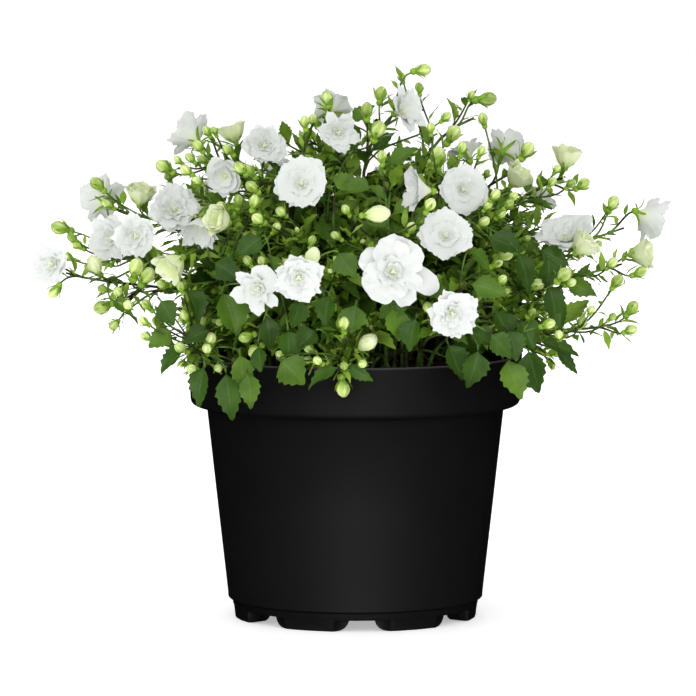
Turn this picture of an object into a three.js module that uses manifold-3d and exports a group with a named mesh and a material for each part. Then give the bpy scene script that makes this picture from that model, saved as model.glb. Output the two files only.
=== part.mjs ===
// A bellflower with double white blooms, growing in a round plastic nursery pot.
// Millimetres, +Z up. The origin is on the pot's axis, on the surface that the pot stands on.
// +X is the viewer's right and -Y faces the viewer.
import * as THREE from "three";
import { mergeVertices } from "three/addons/utils/BufferGeometryUtils.js";
import Module from "manifold-3d";

const wasm = await Module();
wasm.setup();

// Pot: thin injection-moulded wall, a broad collar at the top and a foot ring with drainage notches
const RIM_RADIUS = 95;
const RIM_LIP = 0.9;
const RIM_BEVEL = 0.5;
const RIM_BEVEL_HEIGHT = 1.2;
const POT_HEIGHT = 151;
const WALL = 1.2;
const COLLAR_BOTTOM = 121.6;
const COLLAR_ROUND = 3.4;
const COLLAR_UNDERCUT = 1;
const BODY_TOP_RADIUS = 84.8;
const BODY_LOW_RADIUS = 72.9;
const BODY_LOW = 14;
const LEDGE = 3.6;
const LEDGE_INSET = 0.6;
const FOOT_RADIUS = 69;
const FOOT_DRAFT = 0.9;
const FOOT_TOP = 7.2;
const FOOT_INNER_RADIUS = 58;
const FLOOR_THICKNESS = 1.4;
const POT_SEGMENTS = 36;
const NOTCHES = 7;
const NOTCH_WIDTH = 32;
const NOTCH_HEIGHT = 6.4;
const NOTCH_DEPTH = 2.6;
const CHANNEL_TOP_WIDTH = 14;
const CHANNEL_FOOT_WIDTH = 30;
const CHANNEL_FLARE = 1.5;
const CHANNEL_TOE = 0.4;
const CUT_MARGIN = 4;
const FIRST_NOTCH_DEG = 3.1;

// Growing medium: one block of peat and roots that fills the pot to below its rim
const SOIL_TOP = 139;
const SOIL_SHRINK = 1;
const GAP = 0.3;

// Stems: leaves and branches leave a stem at knots, in equal steps along it. Shares are of a stem's reach.
const STEM_RADIUS = 1.3;
const STEM_SIDES = 4;
const STEM_KNOTS = 6;
const RISE_SHARE = 0.42;
const LEAST_RISE = 14;
const BEND_SHARE = 0.3;
const DROP_SHARE = 0.1;
const LOWEST_BEND = 22;
const STRAIGHT_TURN = 0.05;
const SPARE_TURN = [0.3, 0.9, 0.1];

// Branches to the blooms and buds
const BRANCH_RADIUS = 0.9;
const BRANCH_SIDES = 3;
const BRANCH_SHARE = 0.35;
const BRANCH_STOPS = [0, 0.33, 0.67, 1];
const SHORTEST_BRANCH = 12;
const WIDEST_FORK = 0.9;
const LOWEST_FORK = 2;

// Buds
const BUD_LENGTH = 9;
const BUD_RADIUS = 3.6;
const LONGEST_SCALED = 12;
const BUD_SIDES = 5;
const BUD_LIFT = 0.35;
const BUD_AIM = 0.75;
const BUD_TIP_SHARE = 0.3;
const LEAST_STALK = 0.3;

// Blooms: ten petal points round a full heart. Shares are of the bloom's radius.
const BLOOM_POINTS = 10;
const BLOOM_LEAST_DEPTH = 4;
const BLOOM_DEPTH_SHARE = 0.27;
const CALYX_RADIUS = 2.6;
const CALYX_SHARE = 0.8;
const PETAL_EDGE = 2;
const HOLLOW_SHARE = 0.76;
const HEART_SHARE = 0.5;
const HEART_HEIGHT = 2.4;

// Leaves
const LEAF_LENGTH = 27;
const LEAF_WIDTH = 21;
const PETIOLE_LENGTH = 8;
const PETIOLE_HALF_WIDTH = 0.6;
const LEAF_THICKNESS = 0.8;
const LEAF_WIDEST = 0.4;
const LEAF_LEAN = 0.55;
const LEAF_KNOTS = 5;
const LEAVES_ON_STEM = 6;
const LOW_LEAF_SIZE = 1.1;
const LEAF_SIZE_LOSS = 0.4;
const GOLDEN_ANGLE = 2.39996;
const LEAF_TRIES = 6;
const SHOOT_STAGGER = 7;

// The photograph's view: its frame is 696 px square, and one pixel spans mmPerPx at the pot's axis
const VIEW = { centrePx: 348, mmPerPx: 0.5706, distance: 2943, aimX: -4.2, aimZ: 153.4, pitchDeg: 5.3 };

// Open blooms. px is the middle of the bloom in the photograph, near is how far it stands from the pot's
// axis towards the viewer, and face is the way it looks: right, towards the viewer, up.
const BLOOMS = [
  { px: [43, 263], near: 60, face: [-0.45, 0.86, 0.12], wide: 28, shoot: "left_low" },
  { px: [103, 238], near: 36, face: [-0.45, 0.88, 0.1], wide: 30, shoot: "left_middle" },
  { px: [136, 235], near: 62, face: [0.05, 0.97, 0.15], wide: 28, shoot: "left_middle" },
  { px: [174, 204], near: 30, face: [0, 0.92, 0.35], wide: 33, shoot: "left_upper" },
  { px: [98, 196], near: -22, face: [-0.4, -0.85, 0.3], wide: 32, shoot: "left_upper" },
  { px: [187, 130], near: -18, face: [-0.52, -0.68, 0.5], wide: 33, shoot: "upper_left" },
  { px: [219, 179], near: 48, face: [-0.3, 0.93, -0.1], wide: 25, shoot: "upper_left" },
  { px: [198, 236], near: 80, face: [-0.15, 0.62, -0.75], wide: 28, shoot: "left_front" },
  { px: [266, 142], near: 26, face: [0.1, 0.94, 0.28], wide: 26, shoot: "top_left" },
  { px: [301, 179], near: 78, face: [0, 0.95, 0.3], wide: 33, shoot: "top_left" },
  { px: [335, 101], near: -20, face: [0.25, -0.8, 0.5], wide: 28, shoot: "top_middle" },
  { px: [340, 133], near: 40, face: [0.1, 0.95, 0.05], wide: 27, shoot: "top_middle" },
  { px: [413, 107], near: 16, face: [0.72, 0.6, 0.3], wide: 31, shoot: "top_right_inner" },
  { px: [408, 189], near: 92, face: [-0.95, 0.27, 0.1], wide: 33, shoot: "front_middle" },
  { px: [395, 270], near: 136, face: [0.08, 0.97, 0.16], wide: 44, shoot: "front_middle" },
  { px: [463, 143], near: -30, face: [-0.3, -0.4, 0.85], wide: 24, shoot: "top_right" },
  { px: [467, 188], near: 72, face: [0.2, 0.95, 0.15], wide: 30, shoot: "right_front" },
  { px: [446, 230], near: 104, face: [0, 0.93, 0.35], wide: 32, shoot: "right_front" },
  { px: [512, 144], near: -34, face: [0.45, -0.82, 0.3], wide: 30, shoot: "right_back" },
  { px: [546, 191], near: -44, face: [0.4, -0.6, 0.6], wide: 22, shoot: "right_back" },
  { px: [563, 222], near: 40, face: [-0.14, 0.55, 0.82], wide: 39, shoot: "right_middle" },
  { px: [655, 221], near: -30, face: [0.79, -0.42, -0.41], wide: 34, shoot: "right_edge" },
  { px: [456, 318], near: 138, face: [0.16, 0.95, -0.16], wide: 32, shoot: "front_right" },
  { px: [254, 292], near: 126, face: [-0.2, 0.95, -0.1], wide: 30, shoot: "front_left" },
  { px: [299, 280], near: 146, face: [0.02, 0.99, -0.06], wide: 31, shoot: "front_left" },
  { px: [196, 196], near: -92, face: [-0.5, -0.75, 0.35], wide: 31, shoot: "back_left" },
  { px: [236, 246], near: -136, face: [-0.25, -0.9, 0.2], wide: 33, shoot: "back_left" },
  { px: [286, 166], near: -74, face: [-0.15, -0.7, 0.65], wide: 30, shoot: "back_middle_left" },
  { px: [318, 222], near: -138, face: [0.05, -0.93, 0.25], wide: 34, shoot: "back_middle_left" },
  { px: [392, 176], near: -84, face: [0.15, -0.8, 0.55], wide: 31, shoot: "back_middle_right" },
  { px: [402, 258], near: -146, face: [0.1, -0.95, 0.05], wide: 30, shoot: "back_middle_right" },
  { px: [470, 206], near: -100, face: [0.4, -0.8, 0.4], wide: 32, shoot: "back_right" },
  { px: [506, 262], near: -128, face: [0.5, -0.82, 0.1], wide: 29, shoot: "back_right" },
];

// Shoots: where each one leaves the soil, where its main stem ends, and the buds it carries.
// A bud is [u, v, near, length]: its middle in the photograph, its depth as above, and its length.
const SHOOTS = {
  left_low: { foot: [-44, -8], end: [66, 273], near: 50, buds: [[54, 292, 60, 9], [102, 307, 44, 11]] },
  left_middle: { foot: [-36, -26], end: [120, 256], near: 18, buds: [[60, 228, -26, 12], [95, 265, 44, 14]] },
  left_upper: { foot: [-32, 8], end: [136, 214], near: -2, buds: [[97, 184, 6, 10], [141, 193, 4, 17]] },
  upper_left: { foot: [-22, -8], end: [213, 160], near: 10, buds: [[164, 167, 8, 11], [232, 131, 8, 14]] },
  left_front: { foot: [-50, -40], end: [206, 248], near: 66, buds: [[171, 267, 84, 17], [219, 220, 88, 14]] },
  top_left: { foot: [-12, -26], end: [284, 178], near: 36, buds: [[248, 171, 60, 10], [258, 219, 96, 9]] },
  top_middle: { foot: [-8, 6], end: [332, 140], near: 6, buds: [[314, 120, -8, 8], [378, 130, 44, 12]] },
  top_right_inner: {
    foot: [14, -10], end: [398, 118], near: 4,
    buds: [[423, 70, 0, 10], [381, 94, -10, 10]],
  },
  front_middle: {
    foot: [10, -44], end: [396, 232], near: 96,
    buds: [[377, 214, 124, 16], [430, 205, 112, 9]],
  },
  top_right: { foot: [24, 10], end: [474, 118], near: -12, buds: [[487, 99, -10, 12], [453, 134, 6, 12]] },
  right_front: { foot: [30, -30], end: [458, 214], near: 56, buds: [[438, 157, 36, 13], [484, 222, 76, 8]] },
  right_back: { foot: [34, 22], end: [520, 170], near: -26, buds: [[527, 150, 2, 11], [519, 176, 12, 15]] },
  right_upper: { foot: [42, 2], end: [563, 178], near: 2, buds: [[567, 155, 8, 15], [583, 184, 14, 9]] },
  right_middle: {
    foot: [44, -16], end: [546, 264], near: 28,
    buds: [[585, 244, 52, 15], [537, 285, 66, 10]],
  },
  right_edge: { foot: [54, 8], end: [624, 228], near: -22, buds: [[613, 203, -30, 10], [598, 244, -6, 6]] },
  right_low: { foot: [58, -12], end: [622, 264], near: 16, buds: [[644, 254, 16, 15], [640, 272, 22, 9]] },
  right_lowest: { foot: [57, -31], end: [608, 325], near: 30, buds: [[632, 308, 27, 10], [631, 330, 38, 8]] },
  front_right: { foot: [34, -54], end: [454, 322], near: 110, buds: [[549, 324, 92, 8], [428, 308, 122, 8]] },
  front_left: {
    foot: [-24, -56], end: [276, 288], near: 112,
    buds: [[312, 258, 124, 14], [312, 241, 106, 7]],
  },
  front_hanging: {
    foot: [-2, -66], end: [342, 356], near: 104,
    buds: [[367, 343, 110, 15], [343, 388, 118, 11]],
  },
  front_left_low: {
    foot: [-60, -22], end: [196, 352], near: 84,
    buds: [[181, 348, 92, 9], [192, 369, 100, 8]],
  },
  back_left: {
    foot: [-36, 34], end: [222, 226], near: -86,
    buds: [[150, 250, -70, 10], [210, 170, -70, 10]],
  },
  back_middle_left: {
    foot: [-14, 50], end: [300, 204], near: -98,
    buds: [[330, 160, -70, 10], [270, 230, -132, 9]],
  },
  back_middle_right: {
    foot: [18, 52], end: [404, 214], near: -104,
    buds: [[430, 170, -70, 10], [440, 240, -134, 9]],
  },
  back_right: { foot: [42, 38], end: [492, 228], near: -82, buds: [[556, 236, -66, 11], [540, 266, -88, 8]] },
};

// A closed geometry as a solid, set in its place by a matrix, and back as a geometry
function solidOf(geometry, matrix = new THREE.Matrix4()) {
  const bare = geometry.index ? geometry.toNonIndexed() : geometry.clone();
  bare.deleteAttribute("normal");
  bare.deleteAttribute("uv");
  const merged = mergeVertices(bare, 1e-3).applyMatrix4(matrix);
  const mesh = new wasm.Mesh({
    numProp: 3,
    vertProperties: new Float32Array(merged.attributes.position.array),
    triVerts: new Uint32Array(merged.index.array),
  });
  return new wasm.Manifold(mesh);
}

function geometryOf(solid) {
  const mesh = solid.getMesh();
  const geometry = new THREE.BufferGeometry();
  geometry.setAttribute("position", new THREE.BufferAttribute(new Float32Array(mesh.vertProperties), 3));
  geometry.setIndex(new THREE.BufferAttribute(new Uint32Array(mesh.triVerts), 1));
  geometry.computeVertexNormals();
  return geometry;
}

// A profile of [radius, height] pairs turned about the Z axis
function turned(profile, segments) {
  const points = profile.map(([r, z]) => new THREE.Vector2(r, z));
  return new THREE.LatheGeometry(points, segments).rotateX(Math.PI / 2);
}

// The point in the part's frame that the photograph shows at pixel [u, v], near mm in front of the axis
function seen([u, v], near) {
  const pitch = THREE.MathUtils.degToRad(VIEW.pitchDeg);
  const ahead = new THREE.Vector3(0, Math.cos(pitch), -Math.sin(pitch));
  const up = new THREE.Vector3(0, Math.sin(pitch), Math.cos(pitch));
  const eye = new THREE.Vector3(VIEW.aimX, 0, VIEW.aimZ).addScaledVector(ahead, -VIEW.distance);
  const perPx = VIEW.mmPerPx / VIEW.distance;
  const ray = ahead.clone();
  ray.x += (u - VIEW.centrePx) * perPx;
  ray.addScaledVector(up, (VIEW.centrePx - v) * perPx);
  return eye.addScaledVector(ray, (-near - eye.y) / ray.y);
}

function facing([right, towards, up]) {
  return new THREE.Vector3(right, -towards, up).normalize();
}

// A matrix that stands +Z along a direction at a place
function standing(place, direction) {
  const turn = new THREE.Quaternion().setFromUnitVectors(new THREE.Vector3(0, 0, 1), direction);
  return new THREE.Matrix4().compose(place, turn, new THREE.Vector3(1, 1, 1));
}

function potSolid() {
  const underCollar = COLLAR_BOTTOM - COLLAR_UNDERCUT;
  const collarRadius = RIM_RADIUS - RIM_LIP;
  const collarRise = COLLAR_BOTTOM + COLLAR_ROUND + COLLAR_UNDERCUT;
  const floorTop = FOOT_TOP + FLOOR_THICKNESS;
  const profile = [
    [0, FOOT_TOP],
    [FOOT_INNER_RADIUS, FOOT_TOP],
    [FOOT_INNER_RADIUS + FOOT_DRAFT, 0],
    [FOOT_RADIUS, 0],
    [FOOT_RADIUS + FOOT_DRAFT, FOOT_TOP],
    [BODY_LOW_RADIUS - LEDGE_INSET, FOOT_TOP + LEDGE],
    [BODY_LOW_RADIUS, BODY_LOW],
    [BODY_TOP_RADIUS, underCollar],
    [collarRadius - COLLAR_ROUND, COLLAR_BOTTOM],
    [collarRadius, collarRise],
    [RIM_RADIUS, POT_HEIGHT - RIM_BEVEL_HEIGHT],
    [RIM_RADIUS - RIM_BEVEL, POT_HEIGHT],
    [RIM_RADIUS - WALL, POT_HEIGHT],
    [collarRadius - WALL, collarRise + WALL / 2],
    [collarRadius - COLLAR_ROUND - WALL / 2, COLLAR_BOTTOM + WALL],
    [BODY_TOP_RADIUS - WALL, underCollar + WALL / 2],
    [BODY_LOW_RADIUS - WALL, BODY_LOW],
    [FOOT_RADIUS + GAP, floorTop],
    [0, floorTop],
  ];
  let pot = solidOf(turned(profile, POT_SEGMENTS));
  for (let i = 0; i < NOTCHES; i++) {
    const angle = THREE.MathUtils.degToRad(FIRST_NOTCH_DEG + (i * 360) / NOTCHES);
    pot = pot.subtract(solidOf(channelCut(angle))).subtract(solidOf(notchCut(angle)));
  }
  return pot;
}

// A drainage channel across the foot ring: narrow at the floor, with rounded sides that spread to the ground
function channelCut(angle) {
  const top = CHANNEL_TOP_WIDTH / 2;
  const low = CHANNEL_FOOT_WIDTH / 2;
  const shape = new THREE.Shape();
  shape.moveTo(-low, -CUT_MARGIN);
  shape.lineTo(low, -CUT_MARGIN);
  shape.lineTo(low, 0);
  shape.quadraticCurveTo(top + CHANNEL_FLARE, CHANNEL_TOE, top, NOTCH_HEIGHT);
  shape.lineTo(-top, NOTCH_HEIGHT);
  shape.quadraticCurveTo(-top - CHANNEL_FLARE, CHANNEL_TOE, -low, 0);
  const depth = FOOT_RADIUS - FOOT_INNER_RADIUS + 2 * CUT_MARGIN;
  return new THREE.ExtrudeGeometry(shape, { depth, bevelEnabled: false, curveSegments: 4 })
    .rotateX(Math.PI / 2)
    .translate(0, CUT_MARGIN - FOOT_INNER_RADIUS, 0)
    .rotateZ(angle);
}

// The wider rectangular notch in the outer skin of the foot
function notchCut(angle) {
  return new THREE.BoxGeometry(NOTCH_WIDTH, 2 * CUT_MARGIN, NOTCH_HEIGHT + CUT_MARGIN)
    .translate(0, NOTCH_DEPTH - FOOT_RADIUS - CUT_MARGIN, (NOTCH_HEIGHT - CUT_MARGIN) / 2)
    .rotateZ(angle);
}

function soilSolid() {
  const floor = FOOT_TOP + FLOOR_THICKNESS + GAP;
  const collarInside = RIM_RADIUS - RIM_LIP - WALL - GAP;
  const profile = [
    [0, floor],
    [FOOT_RADIUS - GAP, floor],
    [BODY_LOW_RADIUS - WALL - 2 * GAP, BODY_LOW + SOIL_SHRINK],
    [BODY_TOP_RADIUS - WALL - 2 * GAP, COLLAR_BOTTOM + SOIL_SHRINK],
    [collarInside - 2 * COLLAR_ROUND, COLLAR_BOTTOM + WALL + SOIL_SHRINK],
    [collarInside, COLLAR_BOTTOM + 2 * COLLAR_ROUND + SOIL_SHRINK],
    [collarInside, SOIL_TOP],
    [0, SOIL_TOP],
  ];
  return solidOf(turned(profile, POT_SEGMENTS));
}

// A round stalk along a curve. Each ring is [how far along the curve, radius].
function stalk(curve, rings, sides) {
  const bend = curve.getTangentAt(0).cross(curve.getTangentAt(1));
  if (bend.length() < STRAIGHT_TURN) bend.set(...SPARE_TURN).cross(curve.getTangentAt(0));
  const positions = [];
  for (const [along, radius] of rings) {
    const tangent = curve.getTangentAt(along);
    const across = tangent.clone().cross(bend).normalize();
    const other = tangent.clone().cross(across);
    for (let i = 0; i < sides; i++) {
      const a = (i / sides) * 2 * Math.PI;
      const point = curve.getPointAt(along);
      point.addScaledVector(across, radius * Math.cos(a)).addScaledVector(other, radius * Math.sin(a));
      positions.push(point.x, point.y, point.z);
    }
  }
  const indices = [];
  const last = (rings.length - 1) * sides;
  for (let ring = 0; ring < last; ring += sides) {
    for (let i = 0; i < sides; i++) {
      const a = ring + i;
      const b = ring + ((i + 1) % sides);
      indices.push(a, b, b + sides, a, b + sides, a + sides);
    }
  }
  for (let i = 1; i < sides - 1; i++) indices.push(0, i + 1, i, last, last + i, last + i + 1);
  const geometry = new THREE.BufferGeometry();
  geometry.setAttribute("position", new THREE.Float32BufferAttribute(positions, 3));
  geometry.setIndex(indices);
  return geometry;
}

// A double bloom: a calyx that opens to a star of ten points, with a full heart
function bloomGeometry(wide) {
  const r = wide / 2;
  const depth = bloomDepth(wide);
  const profile = [
    [0, -depth],
    [CALYX_RADIUS, -depth * CALYX_SHARE],
    [r, HEART_HEIGHT / 4],
    [r * HEART_SHARE, HEART_HEIGHT],
    [0, HEART_HEIGHT / 2],
  ];
  const geometry = turned(profile, BLOOM_POINTS);
  const position = geometry.attributes.position;
  for (let i = 0; i < position.count; i++) {
    const column = Math.floor(i / profile.length);
    const onEdge = i % profile.length === PETAL_EDGE;
    const share = onEdge && column % 2 === 1 ? HOLLOW_SHARE : 1;
    position.setXY(i, position.getX(i) * share, position.getY(i) * share);
  }
  return geometry;
}

function bloomDepth(wide) {
  return BLOOM_LEAST_DEPTH + wide * BLOOM_DEPTH_SHARE;
}

// A closed bud at the end of its own thin stalk, widest near its middle
function budGeometry(curve, length) {
  const start = Math.max(LEAST_STALK, 1 - length / curve.getLength());
  const wide = (BUD_RADIUS / BUD_LENGTH) * Math.min(length, LONGEST_SCALED);
  const rings = [
    [0, BRANCH_RADIUS],
    [start / 2, BRANCH_RADIUS],
    [start, BRANCH_RADIUS],
    [(start + 1) / 2, wide],
    [1, wide * BUD_TIP_SHARE],
  ];
  return stalk(curve, rings, BUD_SIDES);
}

// A leaf blade on its stalk, lying along +Y from the origin
function leafGeometry(size) {
  const bladeStart = PETIOLE_LENGTH * size;
  const long = LEAF_LENGTH * size;
  const half = (LEAF_WIDTH * size) / 2;
  const thin = PETIOLE_HALF_WIDTH;
  const shape = new THREE.Shape();
  shape.moveTo(-thin, -thin);
  shape.lineTo(thin, -thin);
  shape.lineTo(thin, bladeStart);
  shape.lineTo(half, bladeStart + long * LEAF_WIDEST);
  shape.lineTo(0, bladeStart + long);
  shape.lineTo(-half, bladeStart + long * LEAF_WIDEST);
  shape.lineTo(-thin, bladeStart);
  return new THREE.ExtrudeGeometry(shape, { depth: LEAF_THICKNESS, bevelEnabled: false });
}

// The main stem: straight up out of the soil, then out to its end
function stemCurve(shoot) {
  const foot = new THREE.Vector3(shoot.foot[0], shoot.foot[1], SOIL_TOP + GAP);
  const end = seen(shoot.end, shoot.near);
  const reach = end.distanceTo(foot);
  const outward = new THREE.Vector3(end.x - foot.x, end.y - foot.y, 0).normalize();
  const rise = foot.clone();
  rise.z += Math.max(LEAST_RISE, reach * RISE_SHARE);
  const bend = end.clone().addScaledVector(outward, -reach * BEND_SHARE);
  bend.z = Math.max(end.z - reach * DROP_SHARE, SOIL_TOP + LOWEST_BEND);
  return new THREE.CubicBezierCurve3(foot, rise, bend, end);
}

function stemKnot(k) {
  return k / STEM_KNOTS;
}

// A branch that leaves the stem along it and meets a bloom or bud from behind
function branchCurve(stem, target, face) {
  let leave = stemKnot(LOWEST_FORK);
  for (let k = LOWEST_FORK; k <= STEM_KNOTS; k++) {
    const way = target.clone().sub(stem.getPointAt(stemKnot(k)));
    const fork = way.angleTo(stem.getTangentAt(stemKnot(k)));
    if (way.length() > SHORTEST_BRANCH && fork < WIDEST_FORK) leave = stemKnot(k);
  }
  const start = stem.getPointAt(leave);
  const span = target.distanceTo(start);
  const first = start.clone().addScaledVector(stem.getTangentAt(leave), span * BRANCH_SHARE);
  const second = target.clone().addScaledVector(face, -span * BRANCH_SHARE);
  return new THREE.CubicBezierCurve3(start, first, second, target);
}

// Everything of one shoot but its leaves
function bareShoot(name, shoot, blooms) {
  const stem = stemCurve(shoot);
  const stemRings = Array.from({ length: STEM_KNOTS + 1 }, (_, k) => [stemKnot(k), STEM_RADIUS]);
  const branchRings = BRANCH_STOPS.map((along) => [along, BRANCH_RADIUS]);
  let solid = solidOf(stalk(stem, stemRings, STEM_SIDES));
  for (const bloom of blooms.filter((b) => b.shoot === name)) {
    const seat = bloom.base.clone().addScaledVector(bloom.face, -GAP);
    const branch = branchCurve(stem, seat, bloom.face);
    solid = solid.add(solidOf(stalk(branch, branchRings, BRANCH_SIDES)));
  }
  for (const [u, v, near, length] of shoot.buds) {
    const middle = seen([u, v], near);
    const face = middle.clone().sub(stem.getPoint(BUD_AIM)).normalize();
    face.add(new THREE.Vector3(0, 0, BUD_LIFT)).normalize();
    const tip = middle.clone().addScaledVector(face, length / 2);
    solid = solid.add(solidOf(budGeometry(branchCurve(stem, tip, face), length)));
  }
  return { stem, solid };
}

// One leaf of a shoot, turned about the stem until it clears everything that is already there
function leafThatFits(stem, along, turnAngle, size, taken) {
  const place = stem.getPointAt(along);
  const tangent = stem.getTangentAt(along);
  for (let attempt = 0; attempt < LEAF_TRIES; attempt++) {
    const side = new THREE.Vector3(0, 0, 1).cross(tangent).normalize();
    side.applyAxisAngle(tangent, turnAngle + (attempt / LEAF_TRIES) * 2 * Math.PI);
    const blade = side.addScaledVector(tangent, LEAF_LEAN).normalize();
    const normal = tangent.clone().addScaledVector(blade, -tangent.dot(blade)).normalize();
    const across = blade.clone().cross(normal);
    const matrix = new THREE.Matrix4().makeBasis(across, blade, normal).setPosition(place);
    const leaf = solidOf(leafGeometry(size), matrix);
    if (taken.every((other) => leaf.intersect(other).isEmpty())) return leaf;
  }
  return null;
}

const part = new THREE.Group();

// Joins can leave slivers thinner than the mesh's own precision, so only the body itself is kept
function addNode(name, solid, material) {
  const bodies = solidOf(geometryOf(solid)).decompose();
  const body = bodies.reduce((a, b) => (b.volume() > a.volume() ? b : a));
  const mesh = new THREE.Mesh(geometryOf(body), material);
  mesh.name = name;
  part.add(mesh);
}

const blackPlastic = new THREE.MeshStandardMaterial({ color: 0x1c1c1d, roughness: 0.5, metalness: 0 });
const peat = new THREE.MeshStandardMaterial({ color: 0x2a1a12, roughness: 1, metalness: 0 });
const foliage = new THREE.MeshStandardMaterial({ color: 0x3c6b2c, roughness: 0.55, metalness: 0 });
const petal = new THREE.MeshStandardMaterial({ color: 0xf6f7f1, roughness: 0.6, metalness: 0 });

const pot = potSolid();
const soil = soilSolid();
addNode("pot", pot, blackPlastic);
addNode("growing_medium", soil, peat);

const blooms = BLOOMS.map((bloom) => {
  const face = facing(bloom.face);
  const middle = seen(bloom.px, bloom.near);
  const base = middle.clone().addScaledVector(face, -bloomDepth(bloom.wide));
  const solid = solidOf(bloomGeometry(bloom.wide), standing(middle, face));
  return { ...bloom, face, middle, base, solid };
});
blooms.forEach((bloom, i) => addNode(`bloom_${String(i + 1).padStart(2, "0")}`, bloom.solid, petal));

const shoots = Object.entries(SHOOTS).map(([name, shoot]) => ({ name, ...bareShoot(name, shoot, blooms) }));
const taken = [pot, soil, ...blooms.map((b) => b.solid), ...shoots.map((s) => s.solid)];
shoots.forEach((shoot, i) => {
  const others = taken.filter((solid) => solid !== shoot.solid);
  const place = taken.indexOf(shoot.solid);
  for (let k = 0; k < LEAVES_ON_STEM; k++) {
    const along = stemKnot(1 + (k % LEAF_KNOTS));
    const size = LOW_LEAF_SIZE - LEAF_SIZE_LOSS * along;
    const leaf = leafThatFits(shoot.stem, along, (i * SHOOT_STAGGER + k) * GOLDEN_ANGLE, size, others);
    if (leaf) shoot.solid = shoot.solid.add(leaf);
  }
  taken[place] = shoot.solid;
  addNode(`shoot_${shoot.name}`, shoot.solid, foliage);
});

export default part;
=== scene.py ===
import math
import random

import bmesh
import bpy
from mathutils import Matrix, Vector, noise


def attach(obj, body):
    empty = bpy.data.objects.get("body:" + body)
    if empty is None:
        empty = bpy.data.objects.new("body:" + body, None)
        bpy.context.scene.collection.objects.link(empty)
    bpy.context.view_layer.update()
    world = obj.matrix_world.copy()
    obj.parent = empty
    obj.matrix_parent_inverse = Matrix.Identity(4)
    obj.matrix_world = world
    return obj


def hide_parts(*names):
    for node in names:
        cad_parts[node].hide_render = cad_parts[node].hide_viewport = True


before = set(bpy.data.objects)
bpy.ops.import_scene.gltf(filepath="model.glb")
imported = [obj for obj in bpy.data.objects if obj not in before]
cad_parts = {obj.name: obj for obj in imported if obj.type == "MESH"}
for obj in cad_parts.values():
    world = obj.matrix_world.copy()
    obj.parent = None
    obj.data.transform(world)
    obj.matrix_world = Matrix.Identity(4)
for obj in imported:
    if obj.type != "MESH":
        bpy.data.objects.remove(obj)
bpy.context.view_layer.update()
mm = 0.001
fullTurn = 2 * math.pi
goldenAngle = 2.39996
weld = 1e-6   # points closer than this become one
upward = Vector((0, 0, 1))


def addObject(name, data):
    made = bpy.data.objects.new(name, data)
    bpy.context.scene.collection.objects.link(made)
    return made


# camera, at the photo's angle; the photo's frame is 696 px square

view = {"centrePx": 348, "framePx": 696, "mmPerPx": 0.5706, "distance": 2.943,
        "aimX": -0.0042, "aimZ": 0.1534, "pitch": 5.3, "sensor": 36, "clipEnd": 50}
pitch = math.radians(view["pitch"])
ahead = Vector((0, math.cos(pitch), -math.sin(pitch)))
overhead = Vector((0, math.sin(pitch), math.cos(pitch)))
eye = Vector((view["aimX"], 0, view["aimZ"])) - ahead * view["distance"]


def seen(px, near):
    # the point that the photo shows at px, near mm in front of the pot's axis
    perPx = view["mmPerPx"] * mm / view["distance"]
    ray = ahead + overhead * (view["centrePx"] - px[1]) * perPx
    ray.x += (px[0] - view["centrePx"]) * perPx
    return eye + ray * ((-near * mm - eye.y) / ray.y)


def addCamera():
    data = bpy.data.cameras.new("camera")
    data.sensor_width = view["sensor"]
    data.lens = view["sensor"] * view["distance"] / (view["framePx"] * view["mmPerPx"] * mm)
    data.clip_end = view["clipEnd"]
    cam = addObject("camera", data)
    cam.location = eye
    cam.rotation_euler = ahead.to_track_quat("-Z", "Y").to_euler()
    bpy.context.scene.camera = cam


# materials

softScale = 0.002   # how far light spreads inside leaves and buds, in metres
ribbing = {"petal": 251.3, "bud": 31.416, "cream": 62.8}   # ribs and pleats, in radians across the UV
leafVeins = {"count": 5, "slant": 0.9, "sharpness": 0.35}


def newMaterial(name, roughness, specular=0.5, softness=0.0, softRadius=(1, 1, 1)):
    mat = bpy.data.materials.new(name)
    mat.use_nodes = True
    shader = mat.node_tree.nodes["Principled BSDF"]
    shader.inputs["Roughness"].default_value = roughness
    shader.inputs["Specular IOR Level"].default_value = specular
    if softness:
        shader.inputs["Subsurface Weight"].default_value = softness
        shader.inputs["Subsurface Radius"].default_value = softRadius
        shader.inputs["Subsurface Scale"].default_value = softScale
    return mat, mat.node_tree, shader


def feed(tree, socket, value):
    if hasattr(value, "is_output"):
        tree.links.new(value, socket)
    else:
        socket.default_value = value


def addRamp(tree, source, stops):
    ramp = tree.nodes.new("ShaderNodeValToRGB")
    elements = ramp.color_ramp.elements
    while len(elements) < len(stops):
        elements.new(0.5)
    for element, (position, colour) in zip(elements, stops):
        element.position = position
        element.color = (*colour, 1)
    tree.links.new(source, ramp.inputs["Fac"])
    return ramp.outputs["Color"]


def addMix(tree, blend, factor, first, second):
    mix = tree.nodes.new("ShaderNodeMix")
    mix.data_type = "RGBA"
    mix.blend_type = blend
    for index, value in ((0, factor), (6, first), (7, second)):   # the colour sockets of a Mix node
        feed(tree, mix.inputs[index], value)
    return mix.outputs[2]


def addMath(tree, operation, first, second=0.0):
    node = tree.nodes.new("ShaderNodeMath")
    node.operation = operation
    feed(tree, node.inputs[0], first)
    feed(tree, node.inputs[1], second)
    return node.outputs[0]


def addBump(tree, shader, height, strength, distance):
    bump = tree.nodes.new("ShaderNodeBump")
    bump.inputs["Strength"].default_value = strength
    bump.inputs["Distance"].default_value = distance
    tree.links.new(height, bump.inputs["Height"])
    tree.links.new(bump.outputs["Normal"], shader.inputs["Normal"])


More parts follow.
